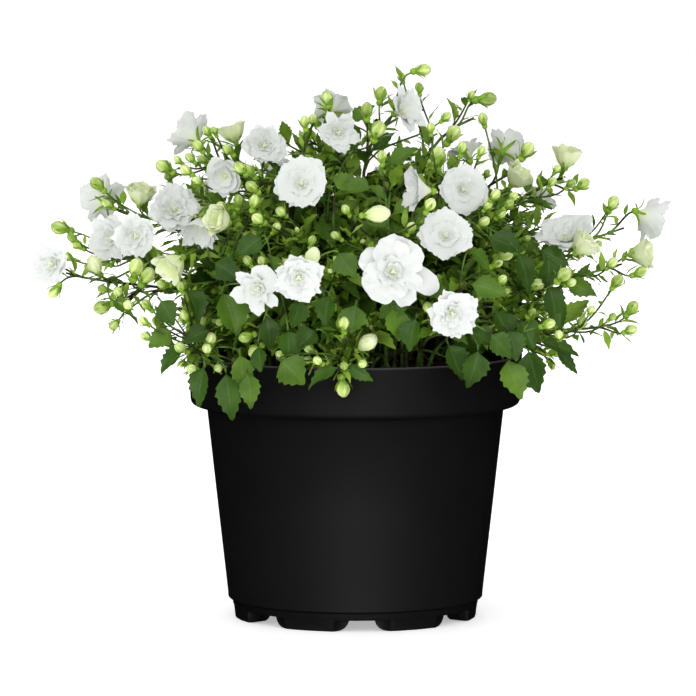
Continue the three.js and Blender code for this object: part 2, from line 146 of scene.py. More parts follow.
def uvParts(tree):
    uv = tree.nodes.new("ShaderNodeUVMap")
    uv.uv_map = "UVMap"
    parts = tree.nodes.new("ShaderNodeSeparateXYZ")
    tree.links.new(uv.outputs["UV"], parts.inputs[0])
    return parts.outputs["X"], parts.outputs["Y"]


def objectNoise(tree, scale, detail=4.0):
    coords = tree.nodes.new("ShaderNodeTexCoord")
    texture = tree.nodes.new("ShaderNodeTexNoise")
    texture.inputs["Scale"].default_value = scale
    texture.inputs["Detail"].default_value = detail
    tree.links.new(coords.outputs["Object"], texture.inputs["Vector"])
    return texture.outputs["Fac"]


def grain(tree, scale, stops, detail=4.0):
    return addRamp(tree, objectNoise(tree, scale, detail), stops)


def paint(tree, shader, colour, scale, stops, detail=4.0):
    # the finish's colour, with cloudy patches over it
    patch = grain(tree, scale, stops, detail)
    tree.links.new(addMix(tree, "MULTIPLY", 1.0, colour, patch), shader.inputs["Base Color"])


def veins(tree, across, along):
    # side veins that leave the middle of a blade at a slant
    side = addMath(tree, "ABSOLUTE", addMath(tree, "SUBTRACT", across, 0.5))
    slant = addMath(tree, "SUBTRACT", along, addMath(tree, "MULTIPLY", side, leafVeins["slant"]))
    wave = addMath(tree, "SINE", addMath(tree, "MULTIPLY", slant, leafVeins["count"] * fullTurn))
    thin = addMath(tree, "POWER", addMath(tree, "ABSOLUTE", wave), leafVeins["sharpness"])
    return side, addMath(tree, "SUBTRACT", 1.0, thin)


def petalMaterial():
    mat, tree, shader = newMaterial("petal_white", 0.6, 0.2)
    across, along = uvParts(tree)
    white = addRamp(tree, along, [
        (0.0, (0.78, 0.83, 0.46)), (0.18, (0.83, 0.86, 0.65)), (0.4, (0.79, 0.812, 0.775)),
        (1.0, (0.78, 0.8, 0.788))])
    paint(tree, shader, white, 160, [(0.3, (0.95, 0.955, 0.955)), (0.7, (1, 1, 1))])
    ribs = addMath(tree, "SINE", addMath(tree, "MULTIPLY", across, ribbing["petal"]))
    fade = addMath(tree, "MULTIPLY", ribs, addMath(tree, "SUBTRACT", 1.1, along))   # deepest in the throat
    addBump(tree, shader, fade, 0.2, 0.0002)
    thin = tree.nodes.new("ShaderNodeBsdfTranslucent")
    thin.inputs["Color"].default_value = (0.73, 0.76, 0.72, 1)
    both = tree.nodes.new("ShaderNodeMixShader")
    both.inputs[0].default_value = 0.14   # how much light comes through a petal
    tree.links.new(shader.outputs[0], both.inputs[1])
    tree.links.new(thin.outputs[0], both.inputs[2])
    tree.links.new(both.outputs[0], tree.nodes["Material Output"].inputs["Surface"])
    return mat


def leafMaterial():
    mat, tree, shader = newMaterial("leaf_green", 0.4, 0.32, 0.08, (0.4, 1.0, 0.2))
    across, along = uvParts(tree)
    tone = tree.nodes.new("ShaderNodeAttribute")   # from old and dark to young and bright
    tone.attribute_name = "tone"
    green = addRamp(tree, tone.outputs["Fac"], [
        (0.0, (0.012, 0.036, 0.002)), (0.35, (0.045, 0.115, 0.009)), (0.65, (0.13, 0.25, 0.018)),
        (1.0, (0.38, 0.58, 0.07))])
    side, ribs = veins(tree, across, along)
    midrib = addRamp(tree, side, [(0.0, (1, 1, 1)), (0.045, (0, 0, 0))])
    light = addMix(tree, "MIX", addMath(tree, "MULTIPLY", midrib, 0.22), green, (0.2, 0.32, 0.11, 1))
    ribbed = addMix(tree, "MIX", addMath(tree, "MULTIPLY", ribs, 0.1), light, (0.13, 0.24, 0.06, 1))
    paint(tree, shader, ribbed, 90, [(0.35, (0.72, 0.75, 0.7)), (0.7, (1.15, 1.1, 1.1))])
    relief = addMath(tree, "ADD", addMath(tree, "MULTIPLY", ribs, -0.7), objectNoise(tree, 420, 2))
    addBump(tree, shader, relief, 0.4, 0.0004)
    return mat


def stemMaterial():
    mat, tree, shader = newMaterial("stem_green", 0.5, 0.25)
    green = grain(tree, 70, [
        (0.38, (0.035, 0.028, 0.014)), (0.5, (0.06, 0.11, 0.02)), (0.7, (0.14, 0.26, 0.04))])
    tree.links.new(green, shader.inputs["Base Color"])
    addBump(tree, shader, objectNoise(tree, 900, 2), 0.3, 0.0002)
    return mat


def budMaterial():
    mat, tree, shader = newMaterial("bud_lime", 0.5, 0.25, 0.15, (0.8, 1.0, 0.4))
    across, along = uvParts(tree)
    lime = addRamp(tree, along, [
        (0.0, (0.18, 0.34, 0.03)), (0.25, (0.38, 0.56, 0.1)), (0.5, (0.62, 0.76, 0.24)),
        (1.0, (0.78, 0.85, 0.44))])
    pleats = addMath(tree, "COSINE", addMath(tree, "MULTIPLY", across, ribbing["bud"]))
    # painted shade: the colour darkens in the hollows between the pleats
    pleatShade = addRamp(tree, pleats, [(0.0, (0.72, 0.82, 0.6)), (0.55, (1, 1, 1))])
    patches = [(0.38, (0.5, 0.56, 0.4)), (0.52, (0.95, 0.95, 0.9)), (0.66, (1.2, 1.14, 1.4))]
    paint(tree, shader, addMix(tree, "MULTIPLY", 1.0, lime, pleatShade), 75, patches, 3)
    addBump(tree, shader, pleats, 0.25, 0.0003)
    return mat


def creamMaterial():
    mat, tree, shader = newMaterial("bud_cream", 0.55, 0.2, 0.25, (1.0, 1.0, 0.7))
    across, along = uvParts(tree)
    cream = addRamp(tree, along, [
        (0.0, (0.42, 0.58, 0.16)), (0.25, (0.66, 0.78, 0.34)), (0.6, (0.77, 0.84, 0.5)),
        (1.0, (0.82, 0.86, 0.64))])
    paint(tree, shader, cream, 200, [(0.3, (0.92, 0.94, 0.88)), (0.7, (1, 1, 1))])
    ribs = addMath(tree, "SINE", addMath(tree, "MULTIPLY", across, ribbing["cream"]))
    addBump(tree, shader, ribs, 0.4, 0.0004)
    return mat


def sepalMaterial():
    mat, tree, shader = newMaterial("sepal_green", 0.45, 0.25)
    along = uvParts(tree)[1]
    green = addRamp(tree, along, [
        (0.0, (0.2, 0.38, 0.03)), (0.6, (0.3, 0.48, 0.05)), (1.0, (0.12, 0.2, 0.02))])
    paint(tree, shader, green, 240, [(0.3, (0.7, 0.75, 0.65)), (0.7, (1.1, 1.1, 1.05))])
    addBump(tree, shader, objectNoise(tree, 700, 2), 0.3, 0.0002)
    return mat


def peatMaterial():
    mat, tree, shader = newMaterial("peat", 0.95, 0.15)
    brown = grain(tree, 130, [
        (0.3, (0.008, 0.004, 0.003)), (0.5, (0.03, 0.014, 0.009)), (0.66, (0.08, 0.035, 0.02)),
        (0.8, (0.16, 0.085, 0.05))], 8)
    tree.links.new(brown, shader.inputs["Base Color"])
    addBump(tree, shader, objectNoise(tree, 600, 6), 0.9, 0.0012)
    return mat


def potMaterial():
    mat, tree, shader = newMaterial("pot_black", 0.64, 0.82)
    black = grain(tree, 24, [(0.3, (0.0022, 0.0022, 0.0023)), (0.7, (0.003, 0.003, 0.0031))], 3)
    coords = tree.nodes.new("ShaderNodeTexCoord")
    parts = tree.nodes.new("ShaderNodeSeparateXYZ")
    tree.links.new(coords.outputs["Object"], parts.inputs[0])
    height = addMath(tree, "MULTIPLY", parts.outputs["Z"], 6.0)   # brings the rim's height just under 1
    rimHighlight = addRamp(tree, height, [(0.9015, (0, 0, 0)), (0.9035, (1, 1, 1))])   # a painted highlight along the top edge of the rim
    tree.links.new(addMix(tree, "MIX", rimHighlight, black, (0.075, 0.075, 0.073, 1)), shader.inputs["Base Color"])
    rough = addMath(tree, "ADD", addMath(tree, "MULTIPLY", objectNoise(tree, 60), 0.08), 0.6)
    tree.links.new(rough, shader.inputs["Roughness"])
    addBump(tree, shader, objectNoise(tree, 1500, 2), 0.1, 0.0002)
    return mat


materials = {
    "petal": petalMaterial(), "leaf": leafMaterial(), "stem": stemMaterial(), "bud": budMaterial(),
    "cream": creamMaterial(), "sepal": sepalMaterial(), "peat": peatMaterial(), "pot": potMaterial(),
}
print("materials made:", len(materials))


# pieces

scratch = bpy.data.meshes.new("scratch")


def newBmesh():
    bm = bmesh.new()
    bm.loops.layers.uv.new("UVMap")
    bm.verts.layers.float.new("tone")
    return bm


def joinPart(bm, part, matrix=None, slot=None):
    # adds a small part to a piece: operators are much quicker on the small part
    if matrix is not None:
        bmesh.ops.transform(part, matrix=matrix, verts=part.verts)
    if slot is not None:
        for polygon in part.faces:
            polygon.material_index = slot
    part.to_mesh(scratch)
    part.free()
    bm.from_mesh(scratch)


def finishPiece(bm, name, mats, replaced=()):
    mesh = bpy.data.meshes.new(name)
    bm.to_mesh(mesh)
    bm.free()
    for mat in mats:
        mesh.materials.append(materials[mat])
    mesh.shade_smooth()
    piece = addObject(name, mesh)
    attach(piece, "root")
    if replaced:
        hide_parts(*replaced)
    return piece


def standing(place, direction, roll=0.0):
    turn = upward.rotation_difference(direction).to_matrix().to_4x4()
    return Matrix.Translation(place) @ turn @ Matrix.Rotation(roll, 4, "Z")


def spinRound(bm, points, steps, closed):
    # a profile of radius and height, turned once round the pot's axis
    verts = [bm.verts.new((r, 0, z)) for r, z in points]
    ends = verts[1:] + verts[:1] if closed else verts[1:]
    edges = [bm.edges.new(pair) for pair in zip(verts, ends)]
    bmesh.ops.spin(bm, geom=verts + edges, axis=(0, 0, 1), cent=(0, 0, 0), angle=fullTurn,
                   steps=steps, use_merge=True, use_duplicate=False)
    bmesh.ops.remove_doubles(bm, verts=bm.verts, dist=weld)


# pot: a spun wall and collar over the foot ring, in mm

pot = {"steps": 144, "footTop": 7.2, "floor": 1.4, "drain": 60, "wall": 1.2, "footRadius": 69, "bodyLow": 14,
       "bodyLowRadius": 72.9, "bend": 68, "bendRadius": 79, "bodyTopRadius": 84.8, "collarBottom": 121.6,
       "collarRound": 3.4, "collarIn": 0.9, "rimRadius": 95, "height": 151, "wallSharp": 35, "footSharp": 25}


def potProfile():
    low = pot["bodyLowRadius"]
    top = pot["bodyTopRadius"]
    wall = pot["wall"]
    rim = pot["rimRadius"]
    high = pot["height"]
    bottom = pot["collarBottom"]
    bow = pot["collarRound"]
    collar = rim - pot["collarIn"]
    inside = pot["footTop"] + pot["floor"]
    outer = [(pot["drain"], pot["footTop"]), (pot["footRadius"] + 0.9, pot["footTop"]),
             (pot["footRadius"] + 1.6, 10.4), (low - 0.8, 10.9), (low - 0.1, 11.6), (low, pot["bodyLow"]),
             (pot["bendRadius"], pot["bend"]), (top, bottom - 1.2), (top + 0.6, bottom - 0.2)]
    corner = (collar - bow, bottom + bow)
    outer += [(corner[0] + bow * math.sin(a), corner[1] - bow * math.cos(a))
              for a in (math.radians(degrees) for degrees in (0, 22, 45, 67, 90))]
    outer += [(rim, high - 2.4), (rim + 0.2, high - 1.6), (rim + 0.2, high - 0.6), (rim - 0.2, high - 0.1),
              (rim - 0.6, high), (rim - wall - 0.2, high - 0.2), (rim - wall - 0.5, high - 1)]
    inner = [(collar - wall, corner[1] + 2), (collar - 5, bottom + wall), (top - wall, bottom - 1),
             (pot["bendRadius"] - wall, pot["bend"]), (low - wall, pot["bodyLow"]),
             (pot["footRadius"] + 0.3, inside), (pot["drain"], inside)]
    return [(r * mm, z * mm) for r, z in outer + inner]


def makePot():
    bm = newBmesh()
    spinRound(bm, potProfile(), pot["steps"], closed=True)
    bmesh.ops.recalc_face_normals(bm, faces=bm.faces)
    wall = finishPiece(bm, "pot_wall", ["pot"], ["pot"])
    wall.data.set_sharp_from_angle(angle=math.radians(pot["wallSharp"]))
    foot = bmesh.new()   # the CAD pot's own foot, cut off under its floor
    foot.from_mesh(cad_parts["pot"].data)
    bmesh.ops.remove_doubles(foot, verts=foot.verts, dist=1e-5)
    bmesh.ops.bisect_plane(foot, geom=foot.verts[:] + foot.edges[:] + foot.faces[:], dist=weld,
                           plane_co=(0, 0, (pot["footTop"] + 0.5) * mm), plane_no=(0, 0, 1), clear_outer=True)
    bmesh.ops.dissolve_limit(foot, angle_limit=math.radians(1), verts=foot.verts, edges=foot.edges)
    ring = finishPiece(foot, "pot_foot", ["pot"])
    ring.data.set_sharp_from_angle(angle=math.radians(pot["footSharp"]))


# peat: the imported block, with a crumbly top

peat = {"radius": 91.6, "rings": 46, "steps": 150, "top": 139.4, "relief": 3.4, "lumps": 90, "rough": 0.09,
        "crumbs": 300, "crumbSize": (0.7, 2.2), "crumbReach": 0.088, "crumbTop": 0.1425, "seed": 4,
        "mound": (0.03, -0.012), "moundReach": 0.055, "rise": 13}


def peatMound(x, y):
    # the root ball stands a little proud of the peat round it
    gap = (Vector((x, y)) - Vector(peat["mound"])).length
    return peat["rise"] * mm * max(0, 1 - gap / peat["moundReach"]) ** 0.7


def makePeat():
    bm = newBmesh()
    line = [(peat["radius"] * mm * i / peat["rings"], peat["top"] * mm) for i in range(1, peat["rings"] + 1)]
    spinRound(bm, line, peat["steps"], closed=False)
    hub = [e for e in bm.edges if e.is_boundary and e.verts[0].co.xy.length < 0.01]
    bmesh.ops.contextual_create(bm, geom=hub)
    for v in bm.verts:
        spot = v.co * peat["lumps"]
        lumps = noise.noise(spot) + 0.6 * noise.noise(spot * 2.7) + 0.45 * noise.noise(spot * 6.5)
        share = 1 if v.co.xy.length < peat["rough"] else 0.4   # calmer where it meets the wall
        v.co.z += peat["relief"] * mm * (0.6 + 0.6 * lumps) * share
        v.co.z += peatMound(v.co.x, v.co.y)
    rng = random.Random(peat["seed"])
    for _ in range(peat["crumbs"]):
        r = peat["crumbReach"] * math.sqrt(rng.random())
        a = rng.uniform(0, fullTurn)
        size = rng.uniform(*peat["crumbSize"]) * mm
        crumb = newBmesh()
        bmesh.ops.create_icosphere(crumb, subdivisions=1, radius=size)
        bmesh.ops.scale(crumb, vec=(rng.uniform(0.7, 1.8), 1, rng.uniform(0.5, 0.9)), verts=crumb.verts)
        x = r * math.cos(a)
        y = r * math.sin(a)
        place = Vector((x, y, peat["crumbTop"] + peatMound(x, y)))
        joinPart(bm, crumb, Matrix.Translation(place) @ Matrix.Rotation(a * 3, 4, "Z"))
    bmesh.ops.recalc_face_normals(bm, faces=bm.faces)
    finishPiece(bm, "peat_top", ["peat"])
    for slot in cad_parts["growing_medium"].material_slots:
        slot.material = materials["peat"]


# blooms: nested flared rings with pointed lobes, on the seat, axis and width of each CAD bloom

bloomLook = {"around": 80, "openAround": 40, "rows": 9, "lobes": 5, "throat": 1.5, "overSize": 1.03,
             "fold": 0.04, "ragged": 0.075, "point": 0.09, "tooth": 0.035, "warp": 0.2, "curlFrom": 0.55,
             "reach": (0.84, 1.0), "bend": (-0.5, 0.7), "openingDrift": 5, "curlDrift": 8, "seed": 899,
             "first": 46, "soft": ("half_open", "bell", "rose", "broad"), "softShare": 0.3}
# the lean of the petals at their foot, in degrees, where it isn't the first of bloomLook
footLean = {"half_open": 60, "bell": 52, "rose": 60, "hanging": 50, "broad": 44, "deep": 26}
# each ring: size, opening and curl back in degrees, lobe depth, pointed tip, ruffle, turn in lobes, lift
whorls = {
    "double": [(1.0, 84, 12, 0.08, 0.16, 0.08, 0, 0), (0.9, 74, 14, 0.1, 0.15, 0.09, 0.45, 0.02),
               (0.58, 66, 14, 0.14, 0.16, 0.12, 0.2, 0.05), (0.36, 52, 0, 0.2, 0.14, 0.14, 0.65, 0.07)],
    "star": [(1.0, 78, 20, 0.24, 0.13, 0.07, 0, 0), (0.7, 66, 16, 0.2, 0.15, 0.08, 0.5, 0.03),
             (0.32, 48, 0, 0.22, 0.14, 0.1, 0.2, 0.06)],
    "full": [(1.0, 86, 8, 0.02, 0.11, 0.05, 0, 0), (0.95, 82, 8, 0.02, 0.11, 0.05, 0.5, 0.01),
             (0.56, 72, 10, 0.08, 0.12, 0.07, 0.2, 0.04), (0.26, 44, 0, 0.18, 0.1, 0.08, 0.7, 0.05)],
    "broad": [(1.0, 86, 26, 0.3, 0.02, 0.16, 0, 0), (0.8, 74, 22, 0.26, 0.02, 0.17, 0.45, 0.03),
              (0.5, 60, 10, 0.26, 0.04, 0.16, 0.1, 0.07), (0.3, 38, 0, 0.22, 0.08, 0.14, 0.6, 0.09)],
    "rose": [(1.0, 76, -6, 0.14, 0.16, 0.05, 0, 0), (0.84, 62, -20, 0.14, 0.12, 0.06, 0.5, 0.02),
             (0.56, 44, -30, 0.12, 0.1, 0.06, 0.2, 0.03)],
    "hanging": [(1.0, 24, 34, 0.24, 0.16, 0.04, 0, 0), (0.9, 14, 14, 0.2, 0.15, 0.05, 0.5, 0.02)],
    "deep": [(1.0, 66, 26, 0.2, 0.14, 0.05, 0, 0), (0.82, 46, 20, 0.16, 0.15, 0.06, 0.45, 0.02)],
    "half_open": [(1.0, 4, 26, 0.1, 0.12, 0.03, 0, 0), (0.94, -4, 10, 0.1, 0.12, 0.05, 0.5, 0.03),
                  (0.84, -12, 0, 0.14, 0.1, 0.06, 0.2, 0.08)],
    "bell": [(1.0, 12, 34, 0.2, 0.2, 0.03, 0, 0), (0.92, 4, 16, 0.18, 0.16, 0.05, 0.5, 0.03)],
}
# the blooms of each style, by number; the others are double
bloomStyles = {"deep": (5, 6, 13, 14, 16, 22), "rose": (7,), "hanging": (8,), "broad": (15,),
               "full": (10, 17, 18, 29), "star": (12, 19, 20, 24, 27, 31)}
bloomLobes = {15: (1.22, 0.86, 0.88, 0.84, 0.92)}
bloomRolls = {15: -0.5}
pistil = {"foot": 0.0019, "neck": 0.0005, "tip": 0.0008, "tips": 3, "long": 0.3, "short": 0.1,
          "uv": (0.5, 0.24)}


def styleOf(styles, mark, other=None):
    return next((style for style, marks in styles.items() if mark in marks), other)


def bloomPlace(name):
    # the two points that most triangles share are the ends of the bloom's axis
    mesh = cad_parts[name].data
    shared = {}
    for polygon in mesh.polygons:
        for index in polygon.vertices:
            key = tuple(round(c, 6) for c in mesh.vertices[index].co)
            shared[key] = shared.get(key, 0) + 1
    points = [Vector(key) for key in shared]
    middle = sum(points, Vector()) / len(points)
    ends = [Vector(key) for key in sorted(shared, key=shared.get)[-2:]]
    seat, heart = sorted(ends, key=lambda end: -(end - middle).length)
    axis = (heart - seat).normalized()
    radius = max((p - seat - axis * (p - seat).dot(axis)).length for p in points)
    return seat, axis, radius


def petalLine(style, opening, curl):
    # radius, height and lean along one petal of unit length
    rows = bloomLook["rows"]
    start = bloomLook["curlFrom"]
    first = footLean.get(style, bloomLook["first"])
    line = [(0, 0, math.radians(first))]
    r = h = 0
    for i in range(rows):
        t = (i + 0.5) / rows
        lean = math.radians(first + (opening - first) * t ** 0.8 + curl * max(0, t - start) / 0.45)
        r += math.sin(lean) / rows
        h += math.cos(lean) / rows
        line.append((r, h, lean))
    return line


def onLine(line, share):
    at = min(share * (len(line) - 1), len(line) - 1.001)
    low = int(at)
    rest = at - low
    return [a + (b - a) * rest for a, b in zip(line[low], line[low + 1])]


def addWhorl(bm, matrix, throat, length, style, ring, rng, around, slot=0, reaches=None):
    # one open ring of petals, grown together below and parted into pointed lobes at the rim
    look = bloomLook
    size, opening, curl, cut, tip, ruffle, turn, lift = ring
    part = newBmesh()
    bmesh.ops.create_grid(part, x_segments=around, y_segments=look["rows"], size=1, calc_uvs=True)
    line = petalLine(style, opening + rng.uniform(-look["openingDrift"], look["openingDrift"]),
                     curl + rng.uniform(-look["curlDrift"], look["curlDrift"]))
    lobes = [rng.uniform(*look["reach"]) for _ in range(look["lobes"])]
    if reaches:
        lobes = reaches
    bends = [rng.uniform(*look["bend"]) for _ in range(look["lobes"])]
    sharp = look["softShare"] if style in look["soft"] else 1
    seed = rng.uniform(0, 60)
    for v in part.verts:
        a = math.pi * (1 + v.co.x) % fullTurn
        t = (v.co.y + 1) / 2
        uneven = look["warp"] * (math.sin(a + seed) + math.sin(2 * a + seed * 1.7))
        place = (a / fullTurn * look["lobes"] + uneven) % look["lobes"]
        lobe = int(place)
        side = abs(place - lobe - 0.5) * 2   # 0 in the middle of a lobe, 1 where two part
        loss = (tip * side + cut * side ** 3) / (tip + cut)
        margin = (1 - (tip + cut) * loss) * lobes[lobe] ** (1 - side ** 2)
        margin += look["point"] * sharp * (max(0, 1 - side * 4.2) - 0.6)
        margin += look["tooth"] * sharp * max(0, 1 - abs(side - 0.55) * 6)
        spot = Vector((math.cos(a), math.sin(a), 0))
        margin += look["ragged"] * sharp * noise.noise(spot * 9 + Vector((seed, 0, 0)))
        over = max(1, margin)
        r, h, lean = onLine(line, t * (1 + (margin / over - 1) * t * t))
        r *= 1 + (over - 1) * t
        wave = noise.noise(spot * 1.7 + Vector((0, seed, t * 1.5)))
        wave += 0.5 * noise.noise(spot * 4.2 + Vector((0, seed, t * 2.5)))
        ruffled = ruffle * t ** 1.5 * (wave * 1.5 + bends[lobe] * (1 - side * side))
        fold = look["fold"] * t * side * side + ruffled
        out = throat + length * size * (r - math.cos(lean) * fold)
        up = length * (lift + size * (h + math.sin(lean) * fold))
        angle = a + turn * fullTurn / look["lobes"]
        v.co = Vector((out * math.cos(angle), out * math.sin(angle), up))
    bmesh.ops.remove_doubles(part, verts=part.verts, dist=weld)
    joinPart(bm, part, matrix, slot)


def addPistil(bm, matrix, length):
    # a short pale style with three small stigma lobes
    part = newBmesh()
    stalk = bmesh.ops.create_cone(part, cap_ends=True, segments=8, radius1=pistil["foot"],
                                  radius2=pistil["neck"], depth=length)
    bmesh.ops.translate(part, vec=(0, 0, length / 2), verts=stalk["verts"])
    for k in range(pistil["tips"]):
        tip = bmesh.ops.create_uvsphere(part, u_segments=6, v_segments=4, radius=pistil["tip"])["verts"]
        bmesh.ops.scale(part, vec=(1.3, 0.8, 0.7), verts=tip)
        bmesh.ops.translate(part, vec=(pistil["tip"], 0, length), verts=tip)
        bmesh.ops.rotate(part, matrix=Matrix.Rotation(k * 2.0944, 3, "Z"), verts=tip)   # a third of a turn
    for polygon in part.faces:
        for loop in polygon.loops:
            loop[part.loops.layers.uv["UVMap"]].uv = pistil["uv"]
    joinPart(bm, part, matrix, 0)


def makeBloom(name):
    number = int(name[-2:])
    seat, axis, radius = bloomPlace(name)
    rng = random.Random(bloomLook["seed"] + number)
    bm = newBmesh()
    place = standing(seat, axis, bloomRolls.get(number, rng.uniform(0, fullTurn)))
    style = styleOf(bloomStyles, number, "double")
    rings = whorls[style]
    throat = bloomLook["throat"] * mm
    widest = max(point[0] for point in petalLine(style, rings[0][1], rings[0][2]))
    length = (radius - throat) / widest * bloomLook["overSize"]
    for ring in rings:
        reaches = bloomLobes.get(number) if ring is rings[0] else None
        addWhorl(bm, place, throat * (0.5 + 0.5 * ring[0]), length, style, ring, rng, bloomLook["around"],
                 reaches=reaches)
    addPistil(bm, place, length * pistil["short" if style == "rose" else "long"])
    finishPiece(bm, "petals_" + name[-2:], ["petal"], [name])
    return seat, axis, radius


# shoots: routes of the stems, in the photo's pixels and mm in front of the axis

stemLook = {"soil": 139.3, "main": 1.35, "branch": 0.7, "thin": 0.5, "points": 12, "branchPoints": 7,
            "stalkPoints": 6, "rise": 0.42, "leastRise": 0.014, "bend": 0.3, "sag": 0.1, "clear": 22,
            "leaveGap": 0.012, "leaveTurn": 0.9, "ease": 0.35}
# each shoot: foot x and y in mm, end x and y in the photo, depth, then its buds: x, y, depth, length in mm
shoots = {
    "left_low": (-44, -8, 66, 273, 50, (54, 292, 60, 9), (102, 307, 44, 11)),
    "left_middle": (-36, -26, 120, 256, 18, (60, 228, -26, 12), (95, 265, 44, 14)),
    "left_upper": (-32, 8, 136, 214, -2, (97, 184, 6, 10), (141, 193, 4, 15)),
    "upper_left": (-22, -8, 213, 160, 10, (164, 167, 8, 11), (232, 131, 8, 14)),
    "left_front": (-50, -40, 206, 248, 66, (171, 267, 84, 17), (219, 220, 88, 14)),
    "top_left": (-12, -26, 284, 178, 36, (248, 171, 60, 10), (258, 219, 96, 9)),
    "top_middle": (-8, 6, 332, 140, 6, (314, 120, -8, 8), (378, 130, 44, 12)),
    "top_right_inner": (14, -10, 398, 118, 4, (423, 70, 0, 10), (381, 94, -10, 10)),
    "front_middle": (10, -44, 396, 232, 96, (377, 214, 124, 16), (430, 205, 112, 9)),
    "top_right": (24, 10, 474, 118, -12, (487, 99, -10, 12), (453, 134, 6, 12)),
    "right_front": (30, -30, 458, 214, 56, (438, 157, 36, 13), (484, 222, 76, 8)),
    "right_back": (34, 22, 520, 170, -26, (527, 150, 2, 11), (519, 176, 12, 15)),
    "right_upper": (42, 2, 563, 178, 2, (567, 155, 8, 15), (583, 184, 14, 9)),
    "right_middle": (44, -16, 546, 264, 28, (585, 244, 52, 15), (537, 285, 66, 10)),
    "right_edge": (54, 8, 624, 228, -22, (613, 203, -30, 10), (598, 244, -6, 6)),
    "right_low": (58, -12, 622, 264, 16, (644, 254, 16, 15), (640, 272, 22, 9)),
    "right_lowest": (57, -31, 608, 325, 30, (632, 308, 27, 10), (631, 330, 38, 8)),
    "front_right": (34, -54, 454, 322, 110, (549, 324, 92, 8), (428, 308, 122, 8)),
    "front_left": (-24, -56, 276, 288, 112, (312, 258, 124, 14), (312, 241, 106, 7)),
    "front_hanging": (-2, -66, 342, 356, 104, (367, 343, 110, 15), (343, 388, 118, 11)),
    "front_left_low": (-60, -22, 196, 352, 84, (181, 348, 92, 9), (192, 369, 100, 8)),
    "back_left": (-36, 34, 222, 226, -86, (150, 250, -70, 10), (210, 170, -70, 10)),
    "back_middle_left": (-14, 50, 300, 204, -98, (330, 160, -70, 10), (270, 230, -132, 9)),
    "back_middle_right": (18, 52, 404, 214, -104, (430, 170, -70, 10), (440, 240, -134, 9)),
    "back_right": (42, 38, 492, 228, -82, (556, 236, -66, 11), (540, 266, -88, 8)),
}
# buds too small for the CAD: x, y in the photo and length in mm; their depth follows the mound
smallBuds = [
    (169, 176, 7), (78, 245, 8), (68, 257, 8), (155, 216, 9), (108, 204, 8), (197, 181, 7), (198, 146, 8),
    (207, 131, 7), (214, 131, 6), (202, 160, 7), (252, 187, 9), (254, 202, 9), (281, 212, 8), (276, 228, 7),
    (336, 236, 7), (248, 261, 7), (367, 110, 10), (305, 122, 8), (382, 157, 8), (346, 210, 7), (402, 77, 6),
    (419, 88, 7), (471, 95, 6), (446, 117, 7), (483, 119, 8), (462, 148, 8), (431, 128, 7), (481, 151, 7),
    (411, 228, 8), (505, 255, 10), (552, 182, 7), (571, 184, 7), (557, 169, 6), (612, 263, 8), (617, 281, 9),
    (612, 317, 6), (582, 322, 8), (559, 335, 7), (548, 324, 8), (591, 310, 6), (571, 283, 7), (564, 275, 11),
    (502, 280, 7), (114, 325, 8), (128, 305, 8), (103, 289, 7), (147, 305, 8), (144, 321, 7), (158, 322, 8),
    (146, 337, 7), (185, 316, 8), (201, 322, 9), (211, 339, 9), (207, 349, 8), (168, 343, 7), (182, 364, 6),
    (218, 368, 7), (163, 284, 8), (181, 287, 7), (344, 339, 6), (344, 324, 9), (344, 366, 7), (362, 364, 7),
    (136, 268, 13), (147, 276, 12), (318, 361, 7), (308, 360, 6), (309, 349, 7), (281, 355, 7), (255, 351, 9),
    (246, 337, 9), (612, 204, 8), (186, 170, 8), (178, 160, 6), (228, 150, 8), (240, 168, 9), (229, 191, 8),
    (238, 201, 8), (190, 158, 7), (222, 206, 7), (495, 195, 8), (488, 206, 7), (501, 214, 7), (509, 204, 7),
    (513, 197, 7), (327, 98, 9), (436, 250, 7), (120, 232, 9), (72, 238, 7), (90, 268, 8), (104, 262, 8),
    (118, 292, 8), (262, 262, 7),
]
mound = {"centre": Vector((0.002, 0, 0.15)), "reach": Vector((0.172, 0.132, 0.152)), "depth": (0.72, 0.98)}


def onMound(px):
    # how far in front of the axis the mound's surface is at a pixel, in mm
    at = seen(px, 0) - mound["centre"]
    left = 1 - (at.x / mound["reach"].x) ** 2 - (at.z / mound["reach"].z) ** 2
    return 1000 * mound["reach"].y * math.sqrt(max(0, left))


def bezier(points, count):
    a, b, c, d = points
    line = []
    for i in range(count + 1):
        t = i / count
        s = 1 - t
        line.append(a * s ** 3 + b * 3 * s * s * t + c * 3 * s * t * t + d * t ** 3)
    return line


def arch(foot, end):
    # a stem that rises from the peat and leans out to its end
    reach = (end - foot).length
    outward = Vector((end.x - foot.x, end.y - foot.y, 0)).normalized()
    rise = foot + upward * max(stemLook["leastRise"], reach * stemLook["rise"])
    bend = end - outward * reach * stemLook["bend"]
    bend.z = max(end.z - reach * stemLook["sag"], (stemLook["soil"] + stemLook["clear"]) * mm)
    return bezier((foot, rise, bend, end), stemLook["points"])


def stemLine(name):
    footX, footY, x, y, near = shoots[name][:5]
    return arch(Vector((footX, footY, stemLook["soil"])) * mm, seen((x, y), near))


def branchLine(stem, target, face):
    # leaves the stem where the way to the target turns least
    leave = len(stem) // 3
    for k in range(leave, len(stem) - 1):
        way = target - stem[k]
        if way.length > stemLook["leaveGap"] and way.angle(stem[k + 1] - stem[k]) < stemLook["leaveTurn"]:
            leave = k
    start = stem[leave]
    span = (target - start).length
    along = (stem[leave + 1] - start).normalized()
    ease = stemLook["ease"]
    points = (start, start + along * span * ease, target - face * span * ease, target)
    return bezier(points, stemLook["branchPoints"])


def sideways(tangent, angle):
    side = tangent.orthogonal().normalized()
    side.rotate(Matrix.Rotation(angle, 3, tangent))
    return side


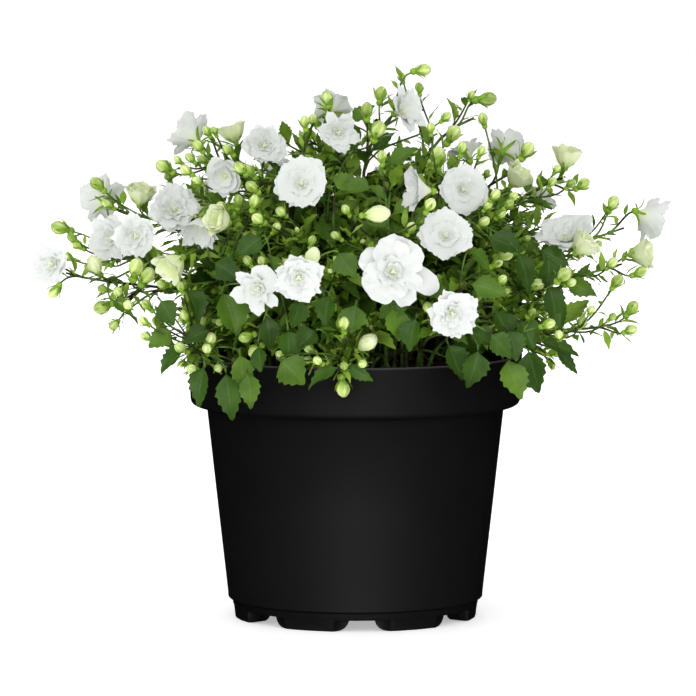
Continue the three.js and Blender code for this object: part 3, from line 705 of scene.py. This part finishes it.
def addRoute(curve, line, thick, thin):
    spline = curve.splines.new("POLY")
    spline.points.add(len(line) - 1)
    for i, (point, place) in enumerate(zip(spline.points, line)):
        point.co = (*place, 1)
        point.radius = thick + (thin - thick) * i / (len(line) - 1)


def newStems():
    curve = bpy.data.curves.new("stems", "CURVE")
    curve.dimensions = "3D"
    curve.bevel_depth = mm
    curve.bevel_resolution = 1
    curve.use_fill_caps = True
    return curve


def finishStems(curve, name, node):
    holder = addObject("route", curve)
    mesh = bpy.data.meshes.new_from_object(holder)
    bpy.data.objects.remove(holder)
    bm = bmesh.new()
    bm.from_mesh(mesh)
    bmesh.ops.remove_doubles(bm, verts=bm.verts, dist=weld)
    finishPiece(bm, name, ["stem"], [node])


# buds and sepals; a piece of buds has these three finishes, in this order

budFinishes = ["bud", "cream", "sepal"]
limeSlot, creamSlot, greenSlot = range(3)
budLook = {"around": 10, "up": 7, "pleats": 0.1, "cream": 13.5, "twist": (0.1, 0.7), "blunt": (0.9, 0.98),
           "lift": 0.35, "frontTurn": 0.4, "openReach": 1.04, "openThroat": 0.1}
# each kind of bud: its finish, its width, and the length and spread of its sepals
budKinds = {"lime": (limeSlot, 0.37, 0.82, 0.5), "cream": (creamSlot, 0.32, 0.45, 0.7),
            "open": (creamSlot, 0.5, 0.48, 0.7)}
sepalLook = {"sepals": 5, "cup": 0.26, "cupDrop": 0.06, "drop": 0.08, "foot": 0.17, "wide": 0.13, "keel": 0.4,
             "reach": (0.85, 1.25), "clear": 1.12, "gap": 0.0002, "tipGap": 0.0012}
calyx = {"back": 0.0012, "length": 0.0085, "spread": 1.15}   # the sepals behind an open bloom
# the flowers that are just opening, by their pixel in the photo
opening = {"bell": [(171, 267)], "half_open": [(141, 193), (567, 155), (585, 244), (644, 254), (232, 131),
                                               (219, 220), (519, 176)]}
# where the buds point that don't simply follow their stalk
pointing = {(343, 388): (0.15, -0.3, -1), (377, 214): (1, -0.2, 0.12), (171, 267): (-0.75, -0.5, -0.6),
            (367, 343): (0.6, -0.4, 0.5), (219, 220): (-0.75, -0.6, 0.25), (95, 265): (-0.4, -0.5, 0.9),
            (141, 193): (0.15, -0.3, 1), (567, 155): (0.12, -0.2, 1), (60, 228): (-0.9, -0.2, 0.25),
            (423, 70): (1, 0, 0.15), (487, 99): (1, -0.1, 0.1), (632, 308): (0.6, 0, 0.8),
            (613, 203): (0.45, 0, 0.9), (644, 254): (1, -0.3, 0.1), (537, 285): (0.8, -0.4, 0.4),
            (54, 292): (-0.5, -0.2, -0.7)}


def budRadius(length, wide, t):
    return length * wide * math.sin(math.pi * t ** 1.1) ** 0.7 * (0.82 + 0.25 * t) if 0 < t < 1 else 0


def addBud(bm, foot, face, length, rng, slot, wide):
    # a pleated bud, twisted a little
    part = newBmesh()
    bmesh.ops.create_uvsphere(part, u_segments=budLook["around"], v_segments=budLook["up"], radius=1,
                              calc_uvs=True)
    turn = rng.uniform(0, math.pi)
    twist = rng.uniform(*budLook["twist"])
    blunt = rng.uniform(*budLook["blunt"])
    for v in part.verts:
        t = (v.co.z + 1) / 2
        a = math.atan2(v.co.y, v.co.x)
        r = budRadius(length, wide, t) * (1 + budLook["pleats"] * math.cos(5 * a))
        a += twist * t
        v.co = Vector((r * math.cos(a), r * math.sin(a), length * t * (1 if t < 1 else blunt)))
    joinPart(bm, part, standing(foot, face, turn), slot)


def addOpening(bm, foot, face, length, style, rng):
    place = standing(foot, face, rng.uniform(0, fullTurn))
    throat = length * budLook["openThroat"]
    for ring in whorls[style]:
        addWhorl(bm, place, throat * ring[0], length * budLook["openReach"], style, ring, rng,
                 bloomLook["openAround"], creamSlot)


def addSepals(bm, foot, face, length, spread, rng, wide=sepalLook["wide"], bud=(0.01, 0)):
    # a small cup behind the flower, with narrow sepals that lie on the bud and part from it at their tips
    look = sepalLook
    part = newBmesh()
    cup = bmesh.ops.create_uvsphere(part, u_segments=8, v_segments=4, radius=length * look["cup"],
                                    calc_uvs=True)
    bmesh.ops.translate(part, vec=(0, 0, -length * look["cupDrop"]), verts=cup["verts"])
    for k in range(look["sepals"]):
        made = bmesh.ops.create_grid(part, x_segments=2, y_segments=4, size=1, calc_uvs=True)
        lean = spread + rng.uniform(-0.2, 0.2)
        reach = length * rng.uniform(*look["reach"])
        for v in made["verts"]:
            t = (v.co.y + 1) / 2
            angle = lean * (0.35 + 0.85 * t)
            half = reach * wide * (1 - t) ** 0.7 * (0.7 + 0.9 * t) * v.co.x
            out = length * look["foot"] + reach * t * math.sin(angle) - abs(half) * look["keel"]
            up = reach * t * math.cos(angle) - length * look["drop"]
            surface = budRadius(*bud, up / bud[0]) * look["clear"]
            out = max(out, surface + look["gap"] + look["tipGap"] * t * t)
            v.co = Vector((out, half, up))
        turn = Matrix.Rotation(k * fullTurn / look["sepals"] + rng.uniform(-0.12, 0.12), 4, "Z")
        bmesh.ops.transform(part, matrix=turn, verts=made["verts"])
    joinPart(bm, part, standing(foot, face, rng.uniform(0, 1)), greenSlot)


# leaves

leafLook = {"across": 4, "rows": 14, "smallAcross": 2, "smallRows": 6, "small": 0.0125, "tooth": 0.09,
            "toothStep": 0.035, "stalkHalf": 0.0006, "keel": 0.0004, "edge": 0.96, "outer": 0.55,
            "wide": 0.8, "narrowing": 0.36, "size": (0.7, 1.25), "step": (0.7, 1.3), "stems": 370, "seed": 31}
# leaves along a stem: gap between them and size in metres, and where on the stem they begin
shootLeaves = {"spacing": 0.008, "size": 0.022, "first": 0.12}
fillLeaves = {"spacing": 0.0085, "size": 0.023, "first": 0.34}
dome = {"centre": Vector((0.007, 0, 0.152)), "reach": Vector((0.134, 0.122, 0.134)), "waist": 0.78,
        "waistTop": 0.45, "feet": (8, 72), "soil": 140, "depth": (0.62, 1.0)}
tuft = {"leaves": 6, "length": (0.008, 0.015), "bud": (0.0035, 0.0075), "stalk": (0.003, 0.008),
        "buds": (0, 1, 1, 2, 2), "budWide": 0.32, "sepal": 0.16}
bracts = {"points": (2, 4, 5, 6), "length": (0.006, 0.012), "wide": 0.34, "tone": (0.55, 1.0)}


def addLeaf(bm, base, direction, facing, length, width, petiole, droop, tone, rng, widest=0.8):
    look = leafLook
    part = newBmesh()
    small = length < look["small"]
    rows = look["smallRows"] if small else look["rows"]
    stalkRows = 1 if small else 2
    bmesh.ops.create_grid(part, x_segments=look["smallAcross"] if small else look["across"],
                          y_segments=rows, size=1, calc_uvs=True)
    toneLayer = part.verts.layers.float["tone"]
    seed = rng.uniform(0, 60)
    curl = rng.uniform(-0.4, 0.4)
    crease = rng.uniform(0.1, 0.8)
    for v in part.verts:
        u = v.co.x
        row = round((v.co.y + 1) / 2 * rows)
        v[toneLayer] = tone
        if row < stalkRows:
            v.co = Vector((u * look["stalkHalf"], petiole * row / stalkRows, -look["keel"] * (1 - abs(u))))
            continue
        q = (row - stalkRows) / (rows - stalkRows)
        half = width / 2 * max(0.04, math.sin(math.pi * q ** widest)) ** 1.05
        onEdge = not small and abs(u) > 0.9 and 0 < q < 1
        if onEdge:
            half *= 1 + look["tooth"] * (1 if row % 2 else -1)
        x = u * half
        y = petiole + length * q + (look["toothStep"] * length if onEdge and row % 2 else 0)
        wave = noise.noise(Vector((u * 1.6 + seed, q * 3.0, seed)))
        bulge = noise.noise(Vector((u * 3.2, q * 6.0 + seed, seed * 0.7)))
        z = abs(x) * crease - droop * length * q * q + (wave * 0.09 + bulge * 0.03) * length * (0.3 + abs(u))
        v.co = Vector((x + curl * length * q * q * 0.4, y, z))
    across = direction.cross(facing).normalized()
    normal = across.cross(direction).normalized()
    matrix = Matrix((across, direction, normal)).transposed().to_4x4()
    joinPart(bm, part, Matrix.Translation(base) @ matrix)


# the room that leaves give a bloom, in metres and in shares of its radius
clearance = {"heart": 0.008, "behind": 0.014, "facing": 0.5, "sight": 0.92, "light": (0.003, 0.05),
             "beam": 0.95, "widening": 0.7}


def clearsPot(point):
    # leaves stay off the pot's wall and off the bare peat at the front
    r = point.xy.length
    bare = 0.006 < point.x < 0.056 and point.y < 0.02 and point.z < 0.166
    return not bare and (point.z > 0.158 or r > 0.1 or r < 0.08 and point.z > 0.143)


def hidesBloom(point):
    # crosses the photo's view of a bloom
    for seat, axis, radius in bloomSeats:
        way = point - seat - axis * clearance["heart"]
        nearer = -way.dot(ahead)
        if nearer > -clearance["behind"] and axis.dot(ahead) < clearance["facing"]:
            if (way + ahead * nearer).length < radius * clearance["sight"]:
                return True
    return False


def shadesBloom(point):
    # stands in the light that falls on the face of a bloom
    least, most = clearance["light"]
    for seat, axis, radius in bloomSeats:
        way = point - seat
        before = way.dot(axis)
        beam = radius * clearance["beam"] + before * clearance["widening"]
        if least < before < most and (way - axis * before).length < beam:
            return True
    return hidesBloom(point)


def leafStem(bm, line, look, rng):
    lengths = [(b - a).length for a, b in zip(line, line[1:])]
    total = sum(lengths)
    at = total * look["first"]
    count = 0
    while at < total:
        gone = 0
        for a, b, step in zip(line, line[1:], lengths):
            if gone + step >= at:
                break
            gone += step
        place = a.lerp(b, min(1, (at - gone) / step))
        tangent = (b - a).normalized()
        share = at / total
        outward = place - dome["centre"]
        outward.normalize()
        side = sideways(tangent, count * goldenAngle + rng.uniform(-0.4, 0.4))
        direction = (side + tangent * 0.5 + outward * 0.45 + upward * 0.1).normalized()
        tilt = Vector((rng.uniform(-0.6, 0.6), rng.uniform(-0.6, 0.3), rng.uniform(-0.2, 0.4)))
        facing = (outward * 0.8 + upward * 0.75 + tilt).normalized()
        length = look["size"] * (1.1 - 0.5 * share) * rng.uniform(*leafLook["size"])
        if max(abs(c / r) for c, r in zip(place - dome["centre"], dome["reach"])) > leafLook["edge"]:
            length *= leafLook["outer"]   # smaller leaves at the outside of the plant
        width = length * (leafLook["wide"] - leafLook["narrowing"] * share) * rng.uniform(0.88, 1.1)
        petiole = length * (0.55 - 0.45 * share)
        tip = place + direction * (length + petiole)
        spots = (place, place.lerp(tip, 0.5), tip)
        if all(clearsPot(spot) for spot in spots[1:]) and not any(shadesBloom(spot) for spot in spots):
            tone = min(1, max(0, 0.2 + 0.5 * share + rng.uniform(-0.2, 0.24)))
            addLeaf(bm, place, direction, facing, length, width, petiole, rng.uniform(0.05, 0.45), tone, rng,
                    0.74 + 0.1 * share)
        at += look["spacing"] * rng.uniform(*leafLook["step"])
        count += 1


# leaves that stand out in the photo: base x, y and tip x, y, depth in mm, width in mm
markedLeaves = [
    (204, 366, 194, 404, 106, 12), (226, 372, 231, 418, 112, 14), (247, 372, 254, 406, 114, 12),
    (280, 360, 303, 380, 122, 19), (288, 330, 289, 358, 118, 17), (266, 316, 274, 346, 116, 12),
    (222, 292, 240, 332, 108, 21), (338, 368, 309, 382, 120, 10), (346, 366, 372, 378, 116, 8),
    (448, 344, 463, 376, 122, 14), (478, 350, 473, 386, 120, 15), (508, 358, 517, 398, 106, 16),
    (528, 350, 540, 390, 96, 19), (470, 284, 506, 290, 112, 13), (518, 252, 533, 288, 92, 12),
    (488, 236, 520, 250, 88, 15), (548, 284, 562, 320, 74, 13), (566, 280, 594, 294, 60, 11),
    (562, 296, 556, 330, 72, 8), (540, 342, 576, 348, 76, 9), (556, 350, 578, 368, 66, 7),
    (172, 330, 150, 346, 82, 12), (186, 350, 160, 368, 92, 14), (210, 330, 184, 338, 100, 12),
    (300, 300, 294, 326, 120, 14), (330, 296, 320, 322, 122, 14), (356, 304, 350, 332, 124, 15),
    (392, 308, 400, 338, 124, 15), (416, 318, 408, 348, 124, 13), (496, 310, 510, 340, 108, 16),
    (262, 236, 240, 256, 104, 13), (330, 176, 366, 192, 60, 12), (372, 190, 340, 182, 64, 12),
    (338, 252, 352, 276, 120, 15), (420, 282, 444, 296, 118, 12), (186, 290, 206, 318, 96, 15),
    (160, 300, 176, 322, 84, 13), (214, 262, 240, 276, 98, 14), (520, 320, 536, 346, 96, 15),
    (470, 330, 492, 344, 112, 14), (258, 346, 262, 370, 118, 11), (316, 330, 300, 346, 120, 13),
    (240, 354, 246, 388, 114, 13), (404, 296, 384, 318, 122, 13), (258, 276, 246, 296, 112, 13),
    (470, 250, 492, 262, 100, 12), (540, 250, 568, 262, 62, 12), (548, 258, 552, 286, 66, 12),
    (490, 334, 512, 352, 116, 13), (508, 330, 520, 358, 110, 14), (372, 152, 392, 134, 30, 10),
    (388, 164, 412, 148, 44, 11), (352, 122, 368, 106, 12, 9), (112, 300, 132, 312, 66, 9),
]


def leafStalk(line, base, way):
    start = min(line[2:], key=lambda place: (place - base).length)
    span = base - start
    points = (start, start + span * 0.4 + upward * 0.004, base - way * 0.3, base)
    return bezier(points, stemLook["stalkPoints"])


def nearestShoot(point, rank=0):
    def gap(name):
        return min((place - point).length for place in stemLines[name][3:])
    return sorted(stemLines, key=gap)[rank]


def clearWay(px, near):
    # a shoot and a depth from which the bud's stalk crosses no bloom
    for back in (0, 10, 20, 35, 50):
        place = seen(px, near - back)
        for rank in (0, 1, 2):
            name = nearestShoot(place, rank)
            if not any(hidesBloom(point) for point in branchLine(stemLines[name], place, upward)[1:]):
                return name, near - back
    return nearestShoot(seen(px, near)), near


def addBracts(bm, line, rng):
    # small narrow leaves along a flower stalk
    for k in bracts["points"]:
        tangent = (line[k + 1] - line[k]).normalized()
        side = sideways(tangent, rng.uniform(0, fullTurn))
        length = rng.uniform(*bracts["length"])
        if not hidesBloom(line[k] + side * length):
            addLeaf(bm, line[k], (side + tangent * 0.8).normalized(), upward, length, length * bracts["wide"],
                    0.001, 0.1, rng.uniform(*bracts["tone"]), rng)


def placeBud(shoot, stem, px, near, length, rng):
    stems, buds, leaves = shoot
    middle = seen(px, near)
    style = styleOf(opening, px)
    face = (middle - stem[9]).normalized() + upward * budLook["lift"]
    if middle.y < 0:
        face.y *= budLook["frontTurn"]
    face = Vector(pointing.get(px, face)).normalized()
    foot = middle - face * length * mm / 2
    size = length * mm
    branch = branchLine(stem, foot, face)
    addRoute(stems, branch, stemLook["branch"], stemLook["thin"])
    kind = "open" if style else "cream" if length > budLook["cream"] else "lime"
    slot, wide, sepals, spread = budKinds[kind]
    if style:
        addOpening(buds, foot, face, size, style, rng)
    else:
        addBud(buds, foot, face, size, rng, slot, wide)
    addSepals(buds, foot, face, size * sepals, spread, rng, bud=(size, wide))
    addBracts(leaves, branch, rng)


def addTuft(shoot, line, rng):
    # the young tip of a shoot: narrow bright leaves and a few tiny buds
    stems, buds, leaves = shoot
    tangent = (line[-1] - line[-2]).normalized()
    outward = (line[-1] - dome["centre"]).normalized()
    spots = (line[-1], line[-1] + outward * 0.012, line[-1] + tangent * 0.012)
    if any(shadesBloom(spot) or not clearsPot(spot) for spot in spots):
        return
    start = rng.uniform(0, 6)
    for k in range(tuft["leaves"]):
        side = sideways(tangent, start + k * goldenAngle)
        way = (side + tangent * rng.uniform(0.3, 1.4) + outward * 0.4).normalized()
        length = rng.uniform(*tuft["length"])
        addLeaf(leaves, line[-1 - k % 2], way, (outward + upward).normalized(), length,
                length * rng.uniform(0.22, 0.4), 0.001, rng.uniform(0, 0.3), rng.uniform(0.5, 0.95), rng)
    for k in range(rng.choice(tuft["buds"])):
        side = sideways(tangent, start + 1 + k * 2.1)
        face = (side * rng.uniform(0.3, 0.8) + tangent + upward * 0.2).normalized()
        length = rng.uniform(*tuft["bud"])
        foot = line[-1] + face * rng.uniform(*tuft["stalk"])
        addRoute(stems, [line[-1], foot], stemLook["thin"], stemLook["thin"])
        addBud(buds, foot, face, length, rng, rng.choice((limeSlot, greenSlot)), tuft["budWide"])
        addSepals(buds, foot, face, length, 0.5, rng, tuft["sepal"], (length, tuft["budWide"]))


def fillStem(rng):
    # a stem from anywhere in the pot to anywhere on the plant's dome
    around = rng.uniform(0, fullTurn)
    lift = math.asin(rng.uniform(-0.02, 0.99))
    footX = rng.uniform(*dome["feet"]) * math.cos(around)
    footY = rng.uniform(*dome["feet"]) * math.sin(around)
    foot = Vector((footX, footY, dome["soil"])) * mm
    out = Vector((math.cos(lift) * math.cos(around), math.cos(lift) * math.sin(around), math.sin(lift)))
    out.xy = out.xy * (dome["waist"] + (1 - dome["waist"]) * min(1, max(0, out.z) / dome["waistTop"]))
    return foot, dome["centre"] + out * dome["reach"] * rng.uniform(*dome["depth"])


def makePlant():
    rng = random.Random(leafLook["seed"])
    grown = {name: (newStems(), newBmesh(), newBmesh()) for name in shoots}
    thin = stemLook["thin"]
    thick = stemLook["branch"]
    for name, line in stemLines.items():
        stems, buds, leaves = grown[name]
        addRoute(stems, line, stemLook["main"], thick)
        leafStem(leaves, line, shootLeaves, rng)
        for x, y, near, length in shoots[name][5:]:
            placeBud(grown[name], line, (x, y), near, length, rng)
    for seat, axis, _ in bloomSeats:
        name = nearestShoot(seat)
        stems, buds, leaves = grown[name]
        branch = branchLine(stemLines[name], seat, axis)
        addRoute(stems, branch, thick, thick)
        addSepals(buds, seat - axis * calyx["back"], axis, calyx["length"], calyx["spread"], rng)
        addBracts(leaves, branch, rng)
    for x, y, length in smallBuds:
        name, near = clearWay((x, y), onMound((x, y)) * rng.uniform(*mound["depth"]))
        placeBud(grown[name], stemLines[name], (x, y), near, length, rng)
    for _ in range(leafLook["stems"]):
        foot, end = fillStem(rng)
        if hidesBloom(end):
            continue
        line = arch(foot, end)
        name = nearestShoot(end)
        addRoute(grown[name][0], line, stemLook["main"], thin)
        leafStem(grown[name][2], line, fillLeaves, rng)
        addTuft(grown[name], line, rng)
    for x1, y1, x2, y2, near, width in markedLeaves:
        base = seen((x1, y1), near)
        tip = seen((x2, y2), near + 4)
        name = nearestShoot(base)
        stems, buds, leaves = grown[name]
        way = tip - base
        facing = Vector((rng.uniform(-0.9, 0.9), -1, rng.uniform(0.0, 1.3))).normalized()
        addLeaf(leaves, base - way * 0.15, way.normalized(), facing, way.length, width * mm,
                way.length * 0.2, rng.uniform(0.05, 0.55), rng.uniform(0.16, 0.56), rng, 0.76)
        addRoute(stems, leafStalk(stemLines[name], base, way), thin, thin)
    for name, (stems, buds, leaves) in grown.items():
        finishStems(stems, "stems_" + name, "shoot_" + name)
        finishPiece(buds, "buds_" + name, budFinishes)
        finishPiece(leaves, "leaves_" + name, ["leaf"])


# studio

studio = {"floor": (0.96, 0.96, 0.96), "floorRadius": 9, "glow": 0.42, "backdrop": 1.0, "ambient": 0.69,
          "mirrored": 0.0, "aim": (0, 0, 0.18),
          "key": {"place": (0.1, -3.3, 0.95), "size": 2.7, "power": 36},
          "left": {"place": (-2.5, -1.7, 0.6), "size": 2.2, "power": 16},
          "right": {"place": (2.4, -2.2, 0.7), "size": 2.0, "power": 12},
          "back": {"place": (0, 3.3, 1.3), "size": 2.6, "power": 30},
          "sun": {"place": (-0.35, -1.0, 2.6), "angle": 50, "power": 0.45}}


def addLamp(name, kind):
    data = bpy.data.lights.new(name, kind)
    data.energy = studio[name]["power"]
    lamp = addObject(name, data)
    lamp.location = studio[name]["place"]
    lamp.rotation_euler = (Vector(studio["aim"]) - lamp.location).to_track_quat("-Z", "Y").to_euler()
    return lamp


def addFloor():
    bm = bmesh.new()
    bmesh.ops.create_circle(bm, cap_ends=True, segments=64, radius=studio["floorRadius"])
    mesh = bpy.data.meshes.new("floor")
    bm.to_mesh(mesh)
    bm.free()
    mat, tree, shader = newMaterial("floor_pale", 0.9)
    shader.inputs["Base Color"].default_value = (*studio["floor"], 1)
    shader.inputs["Emission Color"].default_value = (1, 1, 1, 1)
    shader.inputs["Emission Strength"].default_value = studio["glow"]   # a lit table keeps the far floor pale
    mesh.materials.append(mat)
    floor = addObject("floor", mesh)
    floor.visible_glossy = False   # the black pot doesn't mirror the pale floor


def addWorld():
    # a white room for the camera, dimmer for the plant, and dark in the pot's gloss
    world = bpy.data.worlds.new("studio")
    world.use_nodes = True
    tree = world.node_tree
    ray = tree.nodes.new("ShaderNodeLightPath")
    ambient = studio["ambient"]
    direct = addMath(tree, "MULTIPLY", ray.outputs["Is Camera Ray"], studio["backdrop"] - ambient)
    glossy = addMath(tree, "MULTIPLY", ray.outputs["Is Glossy Ray"], studio["mirrored"] - ambient)
    strength = addMath(tree, "ADD", addMath(tree, "ADD", direct, glossy), ambient)
    tree.links.new(strength, tree.nodes["Background"].inputs["Strength"])
    tree.nodes["Background"].inputs["Color"].default_value = (1, 1, 1, 1)
    bpy.context.scene.world = world


def addLights():
    for name in ("key", "left", "right", "back"):
        lamp = addLamp(name, "AREA")
        lamp.data.shape = "DISK"
        lamp.data.size = studio[name]["size"]
        lamp.visible_glossy = name in ("key", "back")   # the side lights leave no gleam on the pot
    sun = addLamp("sun", "SUN")
    sun.data.angle = math.radians(studio["sun"]["angle"])
    bpy.context.scene.view_settings.view_transform = "Standard"


addCamera()
addFloor()
addWorld()
addLights()
print("camera and studio ready")
makePot()
makePeat()
print("pot and peat ready")
bloomSeats = [makeBloom(name) for name in sorted(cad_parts) if name.startswith("bloom_")]
print("blooms ready:", len(bloomSeats))
stemLines = {name: stemLine(name) for name in shoots}
makePlant()
print("shoots ready:", len(shoots))

bpy.data.meshes.remove(scratch)
